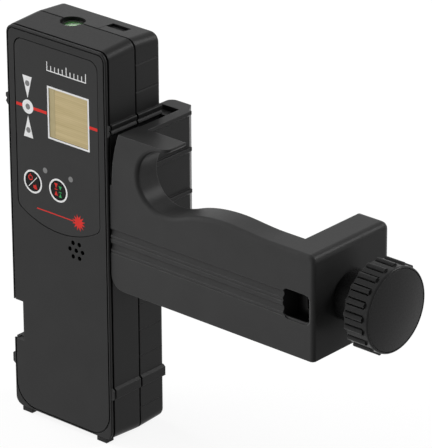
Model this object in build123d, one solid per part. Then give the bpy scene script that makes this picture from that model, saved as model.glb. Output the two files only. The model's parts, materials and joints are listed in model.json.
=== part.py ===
from build123d import *
import math
import os

# Line-laser detector on a levelling-rod clamp. Sizes are in millimetres.
# It is drawn in the detector's own frame: X across the front, Y from the front cover to the
# back, Z up from the feet. Each piece is then moved so that the origin is on the fixed jaw.

# Shared clearances: a seated fit, a running fit and a clear hole, all on the radius
FIT = 0.05
RUN_GAP = 0.05
HOLE_GAP = 0.3

# Case, tallest at the seam and drawn in by a moulding draft towards the front and the back
CASE_W = 52.0
CASE_H = 163.05
CASE_R = 4.0
CASE_DRAFT = 0.85
FRONT_DEPTH = 16.2
REAR_DEPTH = 14.0
WALL = 2.0
BACK_FILLET = 1.6
SEAM_HALF = 0.45
SEAM_DEPTH = 1.0
FOOT_W = 5.0
FOOT_H = 0.9
FOOT_INSET = 3.5
FOOT_FRONT = 0.5
FOOT_L = 4.0
REAR_FOOT_INSET = 9.0
REAR_FOOT_L = 6.0
REAR_FOOT_GAP = 4.2

# Front cover: a thin border in front of the shell's rim, a tongue behind it, and the tongue's ledge
COVER_T = 2.8
BORDER_T = 1.0
BORDER_INSET = 0.2
BORDER_EDGE = 0.35
BORDER_GAP = 0.8
RIM_T = 1.5
COVER_GAP = 0.3
LEDGE_T = 1.6
LEDGE_W = 2.0
LINE_INSET = 0.9
LINE_W = 0.6
LINE_DEPTH = 0.6
LINE_LOW_R = 10.0

# Reference line, which is also the height of the sighting lips on the sides
REF_DROP = 32.0
LIP_PROUD = 1.0
LIP_RISE = 2.4
LIP_FALL = 2.6
LIP_ROUND = 0.7
LIP_EDGE = 0.7
LIP_ROOT = 0.35
LIP_FACET = 0.25
LIP_FACET_H = 0.55
TRIM_BACK_GAP = 0.3
GRIP_PITCH = 11.0
GRIP_DEPTH = 0.25
GRIP_RISE = 0.3
GRIP_FALL = 0.55
GRIP_MARGIN = 2.6
BAND_Z = 22.05
BAND_H = 5.2
BAND_PROUD = 1.0
BAND_SLOPE = 0.8

# Notch in the left side
NOTCH_Z = 31.15
NOTCH_H = 16.4
NOTCH_D = 5.2

# Overlay, window, lights, keys and sound holes on the front
OVERLAY_W = 42.8
OVERLAY_RISE = 26.5
OVERLAY_FALL = 42.4
OVERLAY_SAG = 6.4
OVERLAY_R = 4.0
OVERLAY_T = 0.4
OVERLAY_SINK = 0.1
OVERLAY_GAP = 0.35
OVERLAY_TRENCH = 1.0
WINDOW_X = 5.9
WINDOW_S = 20.0
WINDOW_T = 1.4
WINDOW_SINK = 0.3
WINDOW_GAP = 0.15
WINDOW_SEAT = 0.9
ARROW_X = -15.4
ARROW_STEP = 9.7
LED_R = 1.15
LED_BASE_R = 1.6
LED_BASE_H = 2.0
LED_SINK = 0.3
KEY_DROP = 31.2
KEY_X = (-13.4, 0.0)
KEY_R = 3.75
KEY_PROUD = 0.06
KEY_FLANGE_R = 4.9
KEY_FLANGE_T = 0.8
KEY_TRAVEL = 0.4
KEY_GAP = 0.25
KEY_EDGE = 0.3
KEY_STEM = 0.45
MODE_LED_DX = 6.65
MODE_LED_DZ = 6.5
SOUND_X = 8.9
SOUND_RISE = 9.3
SOUND_HOLE_R = 0.95
SOUND_RING_R = 3.3
SOUND_COUNT = 6

# Board and what it carries
BOARD_W = 40.0
BOARD_T = 1.6
BOARD_TOP_GAP = 2.2
BOARD_GAP = 2.3
POST_R = 2.4
POST_INSET = 4.0
SMALL_SCREW_R = 0.9
SMALL_HEAD_R = 1.8
SMALL_HEAD_T = 1.2
SMALL_SCREW_REACH = 4.0
SWITCH_S = 6.0
SWITCH_H = 3.5
PLUNGER_R = 1.7
PLUNGER_L = 1.6
PLUNGER_OUT = 0.8
PLUNGER_GAP = 0.2
DIODE_W = 6.0
DIODE_H = 20.0
DIODE_T = 1.6
BUZZER_R = 4.8
BUZZER_H = 4.0
CHIP_S = 10.0
CHIP_T = 1.4
CHIP_DROP = 8.0
PLUG_W = 8.0
PLUG_H = 6.0
PLUG_T = 4.0
PLUG_RISE = 0.5

# Bubble level and magnet in the top
VIAL_X = -5.9
VIAL_R = 4.8
VIAL_H = 8.0
VIAL_WALL = 0.8
VIAL_SINK = 1.6
VIAL_GAP = 0.2
CUP_WALL = 1.2
MAGNET_X = 11.3
MAGNET_Y = 23.0
MAGNET_W = 9.0
MAGNET_D = 4.0
MAGNET_H = 3.0
MAGNET_SINK = 1.6
MAGNET_GAP = 0.2
TOP_GROOVE_W = 0.3
TOP_GROOVE_D = 0.8

# Battery, its tray and its door
BATTERY_W = 26.5
BATTERY_T = 17.5
BATTERY_H = 46.4
BATTERY_R = 2.0
TERMINAL_R = 3.6
TERMINAL_H = 2.2
TERMINAL_DX = 6.35
TRAY_Z = 12.45
TRAY_TOP_GAP = 0.9
TRAY_GAP = 0.6
TRAY_WALL = 1.2
SNAP_T = 3.5
SNAP_INSET = 0.8
LEAD_R = 0.65
LEAD_DX = 1.4
LEAD_Y = 12.2
LEAD_SLOT = 1.0
DOOR_T = 1.6
DOOR_LAP = 1.0
DOOR_GAP = 0.3
FOAM_T = 0.6
FOAM_INSET = 4.0
PIN_R = 0.8
KNUCKLE_R = 1.6
KNUCKLE_W = 11.8
HINGE_DROP = 3.0
HINGE_SWING = 0.5
HINGE_GAP = 0.25
LUG_W = 3.0
LUG_R = 2.2
THUMB_R = 7.0
THUMB_DEPTH = 0.7
THUMB_DROP = 6.0

# Long screws that hold rear shell, front shell and cover together
SCREW_INSET = 5.8
SCREW_END_INSET = 7.0
SCREW_R = 1.5
SCREW_TIP_Y = 3.4
HEAD_R = 2.7
HEAD_T = 2.2
HEAD_SINK = 4.0
CROSS_L = 3.2
CROSS_W = 0.8
CROSS_DEPTH = 1.1
BOSS_WALL = 1.2
COVER_BOSS_R = 3.0
BOSS_TIP_Y = 7.0

# Clamp bracket: arm, fixed jaw, its return behind the case, end block
ARM_FRONT = 1.0
ARM_T = 11.0
ARM_FIT = 0.2
ARM_DROP = 64.4
ARM_H = 42.2
ARM_CORNER = 6.0
ARM_EDGE = 1.6
SHELF_DROP = 0.1
SHELF_TIP = 29.0
SHELF_START = 4.7
SHELF_CORNER = 3.0
RELIEF_DROP = 21.6
RELIEF_STEP = 0.9
SCOOP_X = 26.4
SCOOP_DROP = 14.4
SCOOP_R = 12.4
RISE_X = 38.0
RISE_DROP = 24.0
HUMP_X = 58.0
HUMP_LIFT = 1.2
HUMP_END_X = 78.0
FLUTE_PITCH = 5.8
FLUTE_R = 1.7
FLUTE_DEPTH = 0.8
FLUTE_LINE_DROP = 2.5
FLUTE_LINE_R = 0.45
FLUTE_LINE_DEPTH = 0.3
JAW_STANDOFF = 8.7
JAW_WALL = 3.2
JAW_END_Y = 36.6
JAW_TAPER = 3.0
RETURN_BACK = 41.0
RETURN_T = 6.5
RETURN_REACH = 4.5
RETURN_R = 3.0
WEB_DROP = 2.0
RIB_PROUD = 1.2
RIB_H = 2.6
RIB_TIP = 1.4
RIB_PITCH = 17.3
RIB_DROP = 33.0
RIB_COUNT = 3
JAW_SPAN = 78.6
BLOCK_T = 13.3
BLOCK_BACK = 45.0
BLOCK_FILLET = 3.0
FLANGE_REACH = 22.0
FLANGE_GAP = 5.0
FLANGE_H = 32.0
INSERT_INSET = 8.0
INSERT_END = 7.5
INSERT_R = 2.3
INSERT_L = 5.0
INSERT_WALL = 1.7
BRACKET_HEAD_T = 2.0

# Clamp screw, nut, knob and movable jaw
AXIS_Y = 22.0
AXIS_DROP = 43.9
CLAMP_R = 4.0
CLAMP_TIP_R = 3.0
NUT_T = 8.0
NUT_S = 10.2
NUT_GAP = 0.2
MOUTH_W = 12.2
MOUTH_H = 11.4
MOUTH_R = 2.0
MOUTH_DEPTH = 9.5
MOUTH_LIP = 0.8
MOUTH_STEP = 0.5
MOUTH_WALL = 1.3
MOUTH_GROW = 1.0
MOUTH_FALL = 3.0
HUB_GAP = 0.7
HUB_R = 10.0
HUB_L = 9.8
KNOB_R = 16.8
KNOB_T = 11.3
KNOB_EDGE = 0.8
KNOB_RIBS = 20
KNOB_RIB_R = 1.1
KNOB_RIB_PROUD = 0.95
KNOB_RIB_TURN = 0.72
KNOB_TROUGH_R = 1.65
KNOB_TROUGH_LIFT = 0.65
KNOB_BAND = 2.2
CAP_RIM = 0.7
CAP_T = 1.6
CAP_CROWN = 1.3
CAP_SINK = 0.15
CAP_GAP = 0.25
ROD_GAP = 21.6
JAW_T = 10.0
JAW_FRONT_GAP = 0.3
JAW_W = 21.7
JAW_RISE = 7.6
JAW_FALL = 14.4
JAW_EDGE = 1.0
PAD_T = 3.0
PAD_INSET = 1.0
PAD_GROOVES = 4
PAD_GROOVE_R = 0.9
CLIP_R = 4.6
CLIP_T = 0.8
CLIP_NECK = 0.6
CLIP_POCKET_R = 5.6
CLIP_POCKET_T = 3.4
TIP_END = 0.9
WASHER_R = 5.4
WASHER_T = 0.8

# Places worked out from the sizes above
SIDE_X = CASE_W / 2
CASE_BOTTOM = FOOT_H
CASE_TOP = FOOT_H + CASE_H
CASE_MID_Z = FOOT_H + CASE_H / 2
SPLIT_Y = FRONT_DEPTH
BACK_Y = FRONT_DEPTH + REAR_DEPTH
REF_Z = CASE_TOP - REF_DROP
KEY_Z = REF_Z - KEY_DROP
COVER_INSET = RIM_T + COVER_GAP
RIM_Y = BORDER_T + BORDER_GAP
LEDGE_BACK = COVER_T + LEDGE_T
OVERLAY_BACK = OVERLAY_SINK + OVERLAY_T
PLUNGER_TOP = COVER_T + FIT + KEY_FLANGE_T + KEY_STEM
SWITCH_TOP = PLUNGER_TOP + PLUNGER_OUT
BOARD_Y = SWITCH_TOP + SWITCH_H
BOARD_BACK = BOARD_Y + BOARD_T
VIAL_TOP = CASE_TOP - VIAL_SINK
VIAL_BOTTOM = VIAL_TOP - VIAL_H
BOARD_TOP = VIAL_BOTTOM - CUP_WALL - BOARD_TOP_GAP
DOOR_IN = BACK_Y - DOOR_T
BATTERY_BACK = DOOR_IN - FOAM_T - FIT
BATTERY_FRONT = BATTERY_BACK - BATTERY_T
TRAY_FRONT = BATTERY_FRONT - FIT
TRAY_HALF = BATTERY_W / 2 + TRAY_GAP
SNAP_BOTTOM = TRAY_Z + BATTERY_H + TERMINAL_H
SNAP_TOP = SNAP_BOTTOM + SNAP_T
TRAY_TOP = SNAP_TOP + TRAY_TOP_GAP
BOARD_BOTTOM = TRAY_TOP + TRAY_WALL + BOARD_GAP
SOUND_Z = BOARD_BOTTOM + SOUND_RISE
PLUG_BOTTOM = BOARD_BOTTOM + PLUG_RISE
REBATE_HALF = TRAY_HALF + DOOR_LAP
REBATE_BOTTOM = TRAY_Z - DOOR_LAP
REBATE_TOP = TRAY_TOP + DOOR_LAP
HINGE_Y = DOOR_IN - FIT * 2
HINGE_Z = REBATE_BOTTOM - HINGE_DROP
SCREW_X = SIDE_X - SCREW_INSET
SCREW_PLACES = [(x, z) for x in (-SCREW_X, SCREW_X)
                for z in (CASE_BOTTOM + SCREW_END_INSET, CASE_TOP - SCREW_END_INSET)]
SEAT_Y = BACK_Y - HEAD_SINK
POST_X = BOARD_W / 2 - POST_INSET
POST_PLACES = [(x, z) for x in (-POST_X, POST_X)
               for z in (BOARD_BOTTOM + POST_INSET, BOARD_TOP - POST_INSET)]
ARROW_PLACES = [(ARROW_X, REF_Z + step * ARROW_STEP) for step in (-1, 0, 1)]
MODE_LED_PLACES = [(x + MODE_LED_DX, KEY_Z + MODE_LED_DZ) for x in KEY_X]
KEY_PLACES = [(x, KEY_Z) for x in KEY_X]
ARM_BACK = ARM_FRONT + ARM_T
ARM_LEFT = SIDE_X + ARM_FIT
ARM_BOTTOM = REF_Z - ARM_DROP
ARM_TOP = ARM_BOTTOM + ARM_H
SHELF_TOP = REF_Z - SHELF_DROP
JAW_X = SIDE_X + JAW_STANDOFF
RIB_X = JAW_X + RIB_PROUD
RIB_START = ARM_BACK
BLOCK_X = JAW_X + JAW_SPAN
BLOCK_END = BLOCK_X + BLOCK_T
AXIS_Z = REF_Z - AXIS_DROP
RETURN_FRONT = RETURN_BACK - RETURN_T
FLANGE_X = SIDE_X - FLANGE_REACH
FLANGE_Z = REBATE_TOP + FLANGE_GAP
INSERT_PLACES = [(FLANGE_X + INSERT_INSET, z)
                 for z in (FLANGE_Z + INSERT_END, FLANGE_Z + FLANGE_H - INSERT_END)]
NUT_X = BLOCK_X + BLOCK_T / 2
PAD_X = RIB_X + ROD_GAP
JAW_BLOCK_X = PAD_X + PAD_T
JAW_BACK_X = JAW_BLOCK_X + JAW_T
SHOULDER_X = JAW_BACK_X + WASHER_T
HUB_X = BLOCK_END + HUB_GAP
KNOB_X = HUB_X + HUB_L
KNOB_FACE = KNOB_X + KNOB_T
CAP_X = KNOB_FACE - CAP_T
CLAMP_END = KNOB_X + (KNOB_T - CAP_T) / 2
ORIGIN = (RIB_X, (RIB_START + JAW_END_Y) / 2, REF_Z - RIB_DROP)
PAST = 5.0


def block(x, y, z):
    """Box between a low and a high value along each axis."""
    spans = (x, y, z)
    centre = [(low + high) / 2 for low, high in spans]
    size = [high - low for low, high in spans]
    return Pos(*centre) * Box(*size)


def about(middle, size):
    """Low and high value of a size centred on a middle."""
    return middle - size / 2, middle + size / 2


def rod_x(radius, x, y, z):
    """Cylinder along X between the two values of x."""
    length = x[1] - x[0]
    return Pos((x[0] + x[1]) / 2, y, z) * Rot(0, 90, 0) * Cylinder(radius, length)


def rod_y(radius, y, x, z):
    """Cylinder along Y between the two values of y."""
    length = y[1] - y[0]
    return Pos(x, (y[0] + y[1]) / 2, z) * Rot(-90, 0, 0) * Cylinder(radius, length)


def rod_z(radius, z, x, y):
    """Cylinder along Z between the two values of z."""
    length = z[1] - z[0]
    return Pos(x, y, (z[0] + z[1]) / 2) * Cylinder(radius, length)


def slab(outline, y):
    """Front-view outline, drawn in X and Z, made solid between the two values of y."""
    return extrude(Plane.XZ.offset(-y[0]) * outline, amount=y[1] - y[0], dir=(0, 1, 0))


def plan(outline, z):
    """Plan outline, drawn in X and Y, made solid between the two values of z."""
    return extrude(Pos(0, 0, z[0]) * outline, amount=z[1] - z[0], dir=(0, 0, 1))


def edges_at(piece, **where):
    """Edges that lie wholly at the given X, Y or Z values."""
    axes = {"x": "X", "y": "Y", "z": "Z"}
    return [edge for edge in piece.edges()
            if all(abs(getattr(edge @ t, axes[key]) - value) < 1e-4
                   for key, value in where.items() for t in (0, 0.5, 1))]


def case_outline(inset=0.0, draft=0.0):
    """Front outline of the case, drawn in by an inset all round and by a draft at top and bottom."""
    radius = max(CASE_R - inset, WALL / 4)
    height = CASE_H - 2 * (inset + draft)
    return Pos(0, CASE_MID_Z) * RectangleRounded(CASE_W - 2 * inset, height, radius)


def half_case(far_y):
    """Solid form of one half of the case, from the seam to its drawn-in far face."""
    full_y = SPLIT_Y + math.copysign(SEAM_HALF, far_y - SPLIT_Y)
    seam = Plane.XZ.offset(-SPLIT_Y) * case_outline(SEAM_DEPTH)
    full = Plane.XZ.offset(-full_y) * case_outline()
    far = Plane.XZ.offset(-far_y) * case_outline(0, CASE_DRAFT)
    return loft([seam, full, far], ruled=True)


def line_outline(inset):
    """Outline of the cover's fine line, with wider corners at the bottom."""
    height = CASE_H - 2 * (inset + CASE_DRAFT)
    outline = Pos(0, CASE_MID_Z) * Rectangle(CASE_W - 2 * inset, height)
    outline = fillet([v for v in outline.vertices() if v.Y > CASE_MID_Z], CASE_R - inset)
    low = [v for v in outline.vertices() if v.Y < CASE_MID_Z - height / 2 + FIT]
    return fillet(low, LINE_LOW_R + LINE_INSET - inset)


def notch(grow, y):
    """Space of the side notch, with a wall's thickness added where it is wanted."""
    return block((-SIDE_X - PAST, -SIDE_X + NOTCH_D + grow), y, (NOTCH_Z - grow, NOTCH_Z + NOTCH_H + grow))


def side_lips(y):
    """Sighting lips on both sides: an upper one with a rounded top, a notch, and a lower one that slopes."""
    lips = []
    for side in (-1, 1):
        root = side * (SIDE_X - WALL / 2)
        face = side * SIDE_X
        crest = side * (SIDE_X + LIP_PROUD)
        notch_x = side * (SIDE_X + LIP_ROOT)
        top = REF_Z + LIP_RISE
        shoulder = top - LIP_ROUND
        edge = Polyline((root, REF_Z - LIP_FALL), (root, top), (face, top))
        edge += Spline((face, top), (crest, shoulder), tangents=[(side, 0), (0, -1)])
        facet = (crest - side * LIP_FACET, REF_Z - LIP_EDGE)
        edge += Polyline((crest, shoulder), (crest, REF_Z + LIP_EDGE), (notch_x, REF_Z), facet,
                         (crest, facet[1] - LIP_FACET_H), (face, REF_Z - LIP_FALL), (root, REF_Z - LIP_FALL))
        lips.append(slab(make_face(edge), y))
    return lips


def side_band(y):
    """Low band on both sides of the case."""
    trim = []
    for side in (-1, 1):
        root = side * (SIDE_X - WALL / 2)
        face = side * SIDE_X
        crest = side * (SIDE_X + BAND_PROUD)
        half = BAND_H / 2
        flat = half - BAND_SLOPE
        band = Polyline((root, BAND_Z - half), (face, BAND_Z - half), (crest, BAND_Z - flat),
                        (crest, BAND_Z + flat), (face, BAND_Z + half), (root, BAND_Z + half), close=True)
        trim.append(slab(make_face(band), y))
    return trim


def screw_columns(y):
    """Column round each case screw, with a web to the side wall."""
    columns = []
    for x, z in SCREW_PLACES:
        columns.append(rod_y(HEAD_R + BOSS_WALL, y, x, z))
        wall = math.copysign(SIDE_X - WALL / 2, x)
        columns.append(block((min(x, wall), max(x, wall)), y, (z - WALL / 2, z + WALL / 2)))
    return columns


def feet(inset, y):
    """Two short rails under a shell."""
    middle = SIDE_X - inset - FOOT_W / 2
    return [block(about(side * middle, FOOT_W), y, (0, CASE_BOTTOM + CASE_DRAFT)) for side in (-1, 1)]


def vial_cup(y):
    """Half of the round cup that holds the bubble level, on one side of the seam."""
    half = block((-SIDE_X, SIDE_X), y, (VIAL_BOTTOM - CUP_WALL, CASE_TOP - WALL / 2))
    radius = VIAL_R + VIAL_GAP + CUP_WALL
    return rod_z(radius, (VIAL_BOTTOM - CUP_WALL, CASE_TOP - WALL / 2), VIAL_X, SPLIT_Y) & half


def vial_space():
    return rod_z(VIAL_R + VIAL_GAP, (VIAL_BOTTOM, CASE_TOP + PAST), VIAL_X, SPLIT_Y)


def overlay_outline(grow=0.0):
    """Overlay outline: straight top and sides, a bowed lower edge, rounded corners."""
    half = OVERLAY_W / 2 + grow
    top = REF_Z + OVERLAY_RISE + grow
    side_end = REF_Z - OVERLAY_FALL
    low = side_end - OVERLAY_SAG - grow
    edge = Polyline((half, side_end), (half, top), (-half, top), (-half, side_end))
    edge += ThreePointArc((-half, side_end), (0, low), (half, side_end))
    face = make_face(edge)
    return fillet(face.vertices(), OVERLAY_R)


def window_square(grow):
    side = WINDOW_S + 2 * grow
    return Pos(WINDOW_X, REF_Z) * Rectangle(side, side)


def make_front_cover():
    cover = slab(case_outline(BORDER_INSET, CASE_DRAFT), (0, BORDER_T))
    cover = chamfer(edges_at(cover, y=0), BORDER_EDGE)
    trim_y = (BORDER_EDGE, BORDER_T)
    cover += side_lips(trim_y) + side_band(trim_y)
    cover += slab(case_outline(COVER_INSET, CASE_DRAFT), (BORDER_T, COVER_T))
    cover -= notch(COVER_GAP, (-PAST, COVER_T + PAST))
    cover -= slab(line_outline(LINE_INSET) - line_outline(LINE_INSET + LINE_W), (-PAST, LINE_DEPTH))
    cover -= slab(overlay_outline(OVERLAY_GAP), (-PAST, OVERLAY_BACK))
    cover -= slab(overlay_outline(OVERLAY_GAP) - overlay_outline(), (-PAST, OVERLAY_TRENCH))
    cover -= slab(window_square(WINDOW_GAP), (-PAST, COVER_T + PAST))
    cover -= [rod_y(KEY_R + KEY_GAP, (-PAST, COVER_T + PAST), x, z) for x, z in KEY_PLACES]
    cover -= [rod_y(LED_R + FIT, (-PAST, COVER_T + PAST), x, z) for x, z in ARROW_PLACES + MODE_LED_PLACES]
    cover -= sound_holes()
    cover += [rod_y(COVER_BOSS_R, (COVER_T, BOSS_TIP_Y), x, z) for x, z in SCREW_PLACES]
    cover += [rod_y(POST_R, (COVER_T, BOARD_Y), x, z) for x, z in POST_PLACES]
    cover += window_seat()
    cover -= [rod_y(SCREW_R + FIT, (SCREW_TIP_Y - FIT, BOSS_TIP_Y + PAST), x, z) for x, z in SCREW_PLACES]
    pilot = BOARD_Y - SMALL_SCREW_REACH - FIT
    cover -= [rod_y(SMALL_SCREW_R + FIT, (pilot, BOARD_Y + PAST), x, z) for x, z in POST_PLACES]
    return cover


def window_seat():
    """Narrow frame behind the opening, on which the sensor window lies."""
    back = WINDOW_SINK + WINDOW_T
    frame = slab(window_square(WINDOW_GAP + WINDOW_SEAT), (back, back + LEDGE_T))
    return frame - slab(window_square(-WINDOW_SEAT), (0, back + LEDGE_T + PAST))


def sound_holes():
    places = [(SOUND_X, SOUND_Z)]
    for index in range(SOUND_COUNT):
        angle = 2 * math.pi * index / SOUND_COUNT
        places.append((SOUND_X + SOUND_RING_R * math.cos(angle), SOUND_Z + SOUND_RING_R * math.sin(angle)))
    return [rod_y(SOUND_HOLE_R, (-PAST, COVER_T + PAST), x, z) for x, z in places]


def make_front_shell():
    solid = half_case(RIM_Y)
    trim_y = (RIM_Y, SPLIT_Y - SEAM_HALF)
    shell = solid + side_lips(trim_y) + side_band(trim_y)
    shell += feet(FOOT_INSET, (FOOT_FRONT, FOOT_FRONT + FOOT_L))
    shell -= slab(case_outline(RIM_T, CASE_DRAFT), (0, COVER_T))
    shell -= slab(case_outline(WALL + LEDGE_W, CASE_DRAFT), (0, SPLIT_Y + PAST))
    shell -= slab(case_outline(WALL, CASE_DRAFT), (LEDGE_BACK, SPLIT_Y + PAST))
    shell -= [rod_y(COVER_BOSS_R + COVER_GAP, (0, BOSS_TIP_Y), x, z) for x, z in SCREW_PLACES]
    shell += solid & notch(WALL, (COVER_T, SPLIT_Y))
    shell -= notch(0, (-PAST, BACK_Y + PAST))
    shell += screw_columns((BOSS_TIP_Y, SPLIT_Y))
    shell -= [rod_y(SCREW_R + HOLE_GAP, (BOSS_TIP_Y - FIT, SPLIT_Y + PAST), x, z) for x, z in SCREW_PLACES]
    shell += vial_cup((LEDGE_BACK, SPLIT_Y))
    shell -= vial_space()
    return shell


def make_rear_shell():
    solid = fillet(edges_at(half_case(BACK_Y), y=BACK_Y), BACK_FILLET)
    inside = BACK_Y - WALL
    shell = solid - slab(case_outline(WALL, CASE_DRAFT), (SPLIT_Y - PAST, inside))
    shell += solid & notch(WALL, (SPLIT_Y, BACK_Y))
    shell -= notch(0, (-PAST, BACK_Y + PAST))
    shell += screw_columns((SPLIT_Y, inside))
    shell -= [rod_y(SCREW_R + HOLE_GAP, (SPLIT_Y - PAST, BACK_Y), x, z) for x, z in SCREW_PLACES]
    shell -= [rod_y(HEAD_R + HOLE_GAP, (SEAT_Y, BACK_Y + PAST), x, z) for x, z in SCREW_PLACES]
    insert_front = BACK_Y - INSERT_L
    boss = INSERT_R + INSERT_WALL
    shell += [rod_y(boss, (insert_front - INSERT_WALL, inside), x, z) for x, z in INSERT_PLACES]
    shell -= [rod_y(INSERT_R + FIT, (insert_front, BACK_Y + PAST), x, z) for x, z in INSERT_PLACES]
    trim_y = (SPLIT_Y + SEAM_HALF, BACK_Y - TRIM_BACK_GAP)
    shell += side_lips(trim_y) + side_band(trim_y)
    foot_back = BACK_Y - REAR_FOOT_GAP
    shell += feet(REAR_FOOT_INSET, (foot_back - REAR_FOOT_L, foot_back))
    shell -= grip_cuts()
    shell += vial_cup((SPLIT_Y, BACK_Y - WALL))
    shell -= vial_space()
    shell += magnet_box(MAGNET_GAP + CUP_WALL, CUP_WALL)
    shell -= magnet_box(MAGNET_GAP, 0, PAST)
    shell -= top_groove()
    shell += tray_walls() + hinge_lugs()
    shell -= tray_space() + door_space()
    shell -= rod_x(PIN_R + FIT, (-hinge_reach(), hinge_reach()), HINGE_Y, HINGE_Z)
    return shell


def grip_cuts():
    """Fine lines down both sides of the rear shell: shallow notches, steep above and sloped below."""
    cuts = []
    rows = int((CASE_H - 2 * CASE_R) / GRIP_PITCH)
    for row in range(-rows, rows + 1):
        z = REF_Z + row * GRIP_PITCH
        clear_of_trim = abs(z - REF_Z) > GRIP_MARGIN and abs(z - BAND_Z) > BAND_H
        if CASE_BOTTOM + CASE_R < z < CASE_TOP - CASE_R - GRIP_MARGIN and clear_of_trim:
            for side in (-1, 1):
                face = side * SIDE_X
                step = side * (SIDE_X - GRIP_DEPTH)
                past = side * (SIDE_X + GRIP_DEPTH)
                top = (face, z + GRIP_RISE)
                low = (face, z - GRIP_FALL)
                wedge = Polyline((step, z), top, (past, top[1]), (past, low[1]), low, close=True)
                cuts.append(slab(make_face(wedge), (SPLIT_Y - PAST, BACK_Y + PAST)))
    return cuts


def magnet_box(grow, below, above=0.0):
    top = CASE_TOP - MAGNET_SINK
    roof = CASE_TOP + above if above else CASE_TOP - WALL / 2
    span_x = about(MAGNET_X, MAGNET_W + 2 * grow)
    return block(span_x, about(MAGNET_Y, MAGNET_D + 2 * grow), (top - MAGNET_H - below, roof))


def top_groove():
    """Fine joint line on the top, from the seam to the magnet's slot."""
    x = MAGNET_X - MAGNET_W / 2 - MAGNET_GAP + TOP_GROOVE_W / 2
    span_y = (SPLIT_Y - PAST, MAGNET_Y)
    return block(about(x, TOP_GROOVE_W), span_y, (CASE_TOP - TOP_GROOVE_D, CASE_TOP + PAST))


def tray_walls():
    half = TRAY_HALF + TRAY_WALL
    span_z = (TRAY_Z - TRAY_WALL, TRAY_TOP + TRAY_WALL)
    return block((-half, half), (TRAY_FRONT - TRAY_WALL, BACK_Y - WALL), span_z)


def tray_space():
    space = block((-TRAY_HALF, TRAY_HALF), (TRAY_FRONT, BACK_Y + PAST), (TRAY_Z, TRAY_TOP))
    across = LEAD_R + LEAD_SLOT
    slot_z = (TRAY_TOP - PAST, TRAY_TOP + TRAY_WALL + FIT)
    slot = block(about(0, 2 * (LEAD_DX + across)), about(LEAD_Y, 2 * across), slot_z)
    return space + slot


def hinge_reach():
    return KNUCKLE_W / 2 + HINGE_GAP + LUG_W


def hinge_lugs():
    reach = hinge_reach()
    lug = block((-reach, reach), (HINGE_Y - LUG_R, BACK_Y - WALL / 2), (HINGE_Z - LUG_R, HINGE_Z + LUG_R))
    return lug


def door_space():
    """Rebate for the door's plate, and the pocket in which its knuckle turns."""
    rebate = block((-REBATE_HALF, REBATE_HALF), (DOOR_IN, BACK_Y + PAST), (REBATE_BOTTOM, REBATE_TOP))
    half = KNUCKLE_W / 2 + HINGE_GAP
    pocket = block((-half, half), (HINGE_Y - LUG_R, BACK_Y + PAST), (HINGE_Z - LUG_R, REBATE_BOTTOM + FIT))
    return rebate + pocket


def make_battery_door():
    half = REBATE_HALF - DOOR_GAP
    bottom = REBATE_BOTTOM + HINGE_SWING
    top = REBATE_TOP - DOOR_GAP
    outside = BACK_Y - FIT * 2
    door = block((-half, half), (DOOR_IN, outside), (bottom, top))
    ear = KNUCKLE_W / 2
    door += block((-ear, ear), (DOOR_IN, outside), (HINGE_Z, bottom))
    door += rod_x(KNUCKLE_R, (-ear, ear), HINGE_Y, HINGE_Z)
    door -= rod_x(PIN_R + RUN_GAP, (-ear - PAST, ear + PAST), HINGE_Y, HINGE_Z)
    sphere_r = (THUMB_R ** 2 + THUMB_DEPTH ** 2) / (2 * THUMB_DEPTH)
    door -= Pos(0, outside + sphere_r - THUMB_DEPTH, top - THUMB_DROP - THUMB_R) * Sphere(sphere_r)
    return door


def make_door_foam():
    span_x = about(0, BATTERY_W - 2 * FOAM_INSET)
    span_z = about(TRAY_Z + BATTERY_H / 2, BATTERY_H - 2 * FOAM_INSET)
    return block(span_x, (DOOR_IN - FOAM_T, DOOR_IN), span_z)


def make_hinge_pin():
    return rod_x(PIN_R, (-hinge_reach(), hinge_reach()), HINGE_Y, HINGE_Z)


def make_battery():
    top = TRAY_Z + BATTERY_H
    middle = (BATTERY_FRONT + BATTERY_BACK) / 2
    cell = block(about(0, BATTERY_W), (BATTERY_FRONT, BATTERY_BACK), (TRAY_Z, top))
    cell = fillet(cell.edges().filter_by(Axis.Z), BATTERY_R)
    return cell + [rod_z(TERMINAL_R, (top, top + TERMINAL_H), side * TERMINAL_DX, middle) for side in (-1, 1)]


def make_battery_snap():
    span_y = (BATTERY_FRONT + SNAP_INSET, BATTERY_BACK - SNAP_INSET)
    return block(about(0, BATTERY_W - 2 * SNAP_INSET), span_y, (SNAP_BOTTOM, SNAP_TOP))


def make_battery_leads():
    span = (SNAP_TOP, PLUG_BOTTOM)
    return Part() + [rod_z(LEAD_R, span, side * LEAD_DX, LEAD_Y) for side in (-1, 1)]


def make_lead_connector():
    span_z = (PLUG_BOTTOM, PLUG_BOTTOM + PLUG_H)
    return block(about(0, PLUG_W), (BOARD_BACK, BOARD_BACK + PLUG_T), span_z)


def make_case_screws():
    shank = [rod_y(SCREW_R, (SCREW_TIP_Y, SEAT_Y), x, z) for x, z in SCREW_PLACES]
    heads = [rod_y(HEAD_R, (SEAT_Y, SEAT_Y + HEAD_T), x, z) for x, z in SCREW_PLACES]
    screws = Part() + shank + heads
    return screws - [cross_recess(x, SEAT_Y + HEAD_T, z) for x, z in SCREW_PLACES]


def cross_recess(x, y, z):
    """Cross-shaped driver recess sunk into a screw head from behind."""
    span_y = (y - CROSS_DEPTH, y + PAST)
    bar = block(about(x, CROSS_L), span_y, about(z, CROSS_W))
    return bar + block(about(x, CROSS_W), span_y, about(z, CROSS_L))


def make_main_board():
    board = block(about(0, BOARD_W), (BOARD_Y, BOARD_BACK), (BOARD_BOTTOM, BOARD_TOP))
    return board - [rod_y(SMALL_SCREW_R + HOLE_GAP, (0, BACK_Y), x, z) for x, z in POST_PLACES]


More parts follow.
